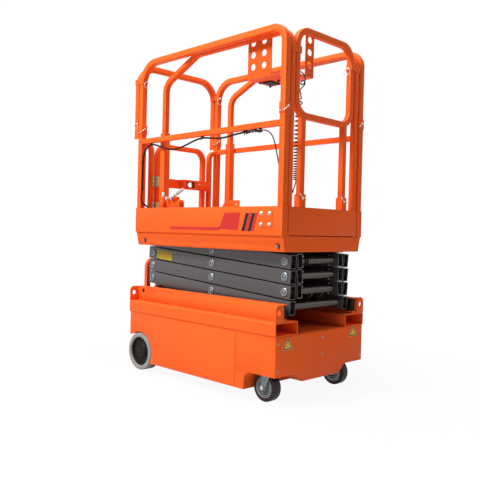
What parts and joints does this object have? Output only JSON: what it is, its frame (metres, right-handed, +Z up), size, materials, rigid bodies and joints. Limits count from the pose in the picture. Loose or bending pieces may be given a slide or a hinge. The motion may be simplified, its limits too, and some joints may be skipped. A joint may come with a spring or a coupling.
{
  "type": "self-propelled scissor lift",
  "caption": "Compact electric scissor lift with a folding guard-railed platform, a sliding extension deck, an entry gate, fork pockets, drive wheels and swivel casters.",
  "frame": {"origin": "on the floor, under the middle of the whole machine", "axes": "+Z up; +X towards the casters and the end the extension deck slides out of; -Y the side with the control-box bracket"},
  "size_m": [1.32, 0.76, 1.935],
  "materials": {
    "orange_paint": "satin powder coat",
    "arm_grey": "dark satin paint",
    "tyre_grey": "non-marking solid rubber",
    "disc_dark": "dark brown-black paint",
    "tread_maroon": "polyurethane",
    "caster_alloy": "cast and turned",
    "zinc_steel": "zinc plated",
    "black_nylon": "wear pad",
    "black_paint": "satin black",
    "chrome_rod": "hard chrome",
    "bronze_hinge": "plated",
    "black_cord": "matt"
  },
  "bodies": {
    "chassis": {"chassis_housing": "orange_paint", "service_covers": "orange_paint", "end_panel_back": "orange_paint", "end_panel_front": "orange_paint", "fork_tubes": "orange_paint", "slide_channels": "orange_paint", "tie_down_lugs": "orange_paint", "pivot_brackets": "orange_paint", "entry_ladder": "orange_paint", "battery_block": "black_paint", "drive_motors": "black_paint", "caster_plates": "zinc_steel"},
    "drive_wheel_near": {"drive_tyre_near": "tyre_grey", "drive_disc_near": "disc_dark"},
    "drive_wheel_far": {"drive_tyre_far": "tyre_grey", "drive_disc_far": "disc_dark"},
    "caster_near": {"caster_fork_near": "zinc_steel"},
    "caster_far": {"caster_fork_far": "zinc_steel"},
    "caster_wheel_near": {"caster_tread_near": "tread_maroon", "caster_core_near": "caster_alloy"},
    "caster_wheel_far": {"caster_tread_far": "tread_maroon", "caster_core_far": "caster_alloy"},
    "low_sliders": {"slide_blocks_low": "black_nylon"},
    "top_sliders": {"slide_blocks_top": "black_nylon"},
    "cylinder_barrel": {"lift_cylinder_barrel": "black_paint"},
    "cylinder_rod": {"lift_cylinder_rod": "chrome_rod"},
    "platform": {"platform_tub": "orange_paint", "platform_channels": "orange_paint", "platform_brackets": "orange_paint", "guard_lower_near": "orange_paint", "guard_lower_far": "orange_paint", "guard_upper_near": "orange_paint", "guard_upper_far": "orange_paint", "entry_stubs": "orange_paint", "guard_upper_entry": "orange_paint", "gate_hinges_fixed": "bronze_hinge", "guard_cable": "black_cord", "cable_joints": "black_nylon"},
    "gate": {"gate": "orange_paint", "gate_hinges_swing": "bronze_hinge"},
    "extension": {"extension_deck": "orange_paint", "extension_side_near": "orange_paint", "extension_side_far": "orange_paint", "extension_end_loop": "orange_paint", "control_bracket": "orange_paint", "deck_locks": "orange_paint", "lock_levers": "zinc_steel", "curly_cord": "black_cord", "cord_lead": "black_cord", "cord_tail": "black_cord", "cord_plugs": "black_nylon"},
    "stage_1_inner": {"inner_arms_1": "arm_grey"},
    "stage_1_outer": {"outer_arms_1": "arm_grey"},
    "stage_2_inner": {"inner_arms_2": "arm_grey"},
    "stage_2_outer": {"outer_arms_2": "arm_grey"},
    "stage_3_inner": {"inner_arms_3": "arm_grey"},
    "stage_3_outer": {"outer_arms_3": "arm_grey"},
    "stage_4_inner": {"inner_arms_4": "arm_grey"},
    "stage_4_outer": {"outer_arms_4": "arm_grey"}
  },
  "joints": [
    {"name": "drive_wheel_near_roll", "type": "hinge", "parent": "chassis", "child": "drive_wheel_near", "pos_m": [-0.4695, -0.335, 0.115], "axis": [0, 1, 0], "continuous": true},
    {"name": "caster_near_swivel", "type": "hinge", "parent": "chassis", "child": "caster_near", "pos_m": [0.5735, -0.292, 0.075], "axis": [0, 0, 1], "continuous": true},
    {"name": "caster_near_roll", "type": "hinge", "parent": "caster_near", "child": "caster_wheel_near", "pos_m": [0.5355, -0.292, 0.075], "axis": [0, 1, 0], "continuous": true},
    {"name": "drive_wheel_far_roll", "type": "hinge", "parent": "chassis", "child": "drive_wheel_far", "pos_m": [-0.4695, 0.335, 0.115], "axis": [0, 1, 0], "continuous": true},
    {"name": "caster_far_swivel", "type": "hinge", "parent": "chassis", "child": "caster_far", "pos_m": [0.5735, 0.292, 0.075], "axis": [0, 0, 1], "continuous": true},
    {"name": "caster_far_roll", "type": "hinge", "parent": "caster_far", "child": "caster_wheel_far", "pos_m": [0.5355, 0.292, 0.075], "axis": [0, 1, 0], "continuous": true},
    {"name": "lift", "type": "hinge", "parent": "chassis", "child": "stage_1_inner", "pos_m": [-0.5135, 0, 0.489], "axis": [0, -1, 0], "range_deg": [0, 45]},
    {"name": "stage_1_cross", "type": "hinge", "parent": "stage_1_inner", "child": "stage_1_outer", "pos_m": [0.0425, 0, 0.52863], "axis": [0, -1, 0], "range_deg": [-90, 0]},
    {"name": "stage_2_fold", "type": "hinge", "parent": "stage_1_outer", "child": "stage_2_inner", "pos_m": [-0.5135, 0, 0.56825], "axis": [0, -1, 0], "range_deg": [0, 90]},
    {"name": "stage_2_cross", "type": "hinge", "parent": "stage_2_inner", "child": "stage_2_outer", "pos_m": [0.0425, 0, 0.60788], "axis": [0, -1, 0], "range_deg": [-90, 0]},
    {"name": "stage_3_fold", "type": "hinge", "parent": "stage_2_outer", "child": "stage_3_inner", "pos_m": [-0.5135, 0, 0.6475], "axis": [0, -1, 0], "range_deg": [0, 90]},
    {"name": "stage_3_cross", "type": "hinge", "parent": "stage_3_inner", "child": "stage_3_outer", "pos_m": [0.0425, 0, 0.68712], "axis": [0, -1, 0], "range_deg": [-90, 0]},
    {"name": "stage_4_fold", "type": "hinge", "parent": "stage_3_outer", "child": "stage_4_inner", "pos_m": [-0.5135, 0, 0.72675], "axis": [0, -1, 0], "range_deg": [0, 90]},
    {"name": "stage_4_cross", "type": "hinge", "parent": "stage_4_inner", "child": "stage_4_outer", "pos_m": [0.0425, 0, 0.76638], "axis": [0, -1, 0], "range_deg": [-90, 0]},
    {"name": "platform_level", "type": "hinge", "parent": "stage_4_outer", "child": "platform", "pos_m": [-0.5135, 0, 0.806], "axis": [0, -1, 0], "range_deg": [0, 45]},
    {"name": "low_sliders_level", "type": "hinge", "parent": "stage_1_outer", "child": "low_sliders", "pos_m": [0.5985, 0, 0.489], "axis": [0, -1, 0], "range_deg": [0, 45]},
    {"name": "top_sliders_level", "type": "hinge", "parent": "stage_4_inner", "child": "top_sliders", "pos_m": [0.5985, 0, 0.806], "axis": [0, -1, 0], "range_deg": [-45, 0]},
    {"name": "barrel_foot", "type": "hinge", "parent": "stage_1_inner", "child": "cylinder_barrel", "pos_m": [0.51262, 0, 0.48193], "axis": [0, -1, 0], "range_deg": [-88.21, 0]},
    {"name": "rod_stroke", "type": "slide", "parent": "cylinder_barrel", "child": "cylinder_rod", "axis": [-0.9689, 0, 0.2475], "range_m": [0, 0.3481]},
    {"name": "gate_swing", "type": "hinge", "parent": "platform", "child": "gate", "pos_m": [-0.5355, -0.225, 0.905], "axis": [0, 0, -1], "range_deg": [0, 90]},
    {"name": "extension_slide", "type": "slide", "parent": "platform", "child": "extension", "axis": [1, 0, 0], "range_m": [0, 0.6]}
  ],
  "couplings": [
    {"joint": "stage_1_cross", "follows": "lift", "ratio": -2},
    {"joint": "stage_2_fold", "follows": "lift", "ratio": 2},
    {"joint": "stage_2_cross", "follows": "lift", "ratio": -2},
    {"joint": "stage_3_fold", "follows": "lift", "ratio": 2},
    {"joint": "stage_3_cross", "follows": "lift", "ratio": -2},
    {"joint": "stage_4_fold", "follows": "lift", "ratio": 2},
    {"joint": "stage_4_cross", "follows": "lift", "ratio": -2},
    {"joint": "platform_level", "follows": "lift", "ratio": 1},
    {"joint": "low_sliders_level", "follows": "lift", "ratio": 1},
    {"joint": "top_sliders_level", "follows": "lift", "ratio": -1},
    {"joint": "barrel_foot", "follows": "lift", "ratio": -1.9491},
    {"joint": "rod_stroke", "follows": "lift", "m_per_rad": 0.44071}
  ]
}
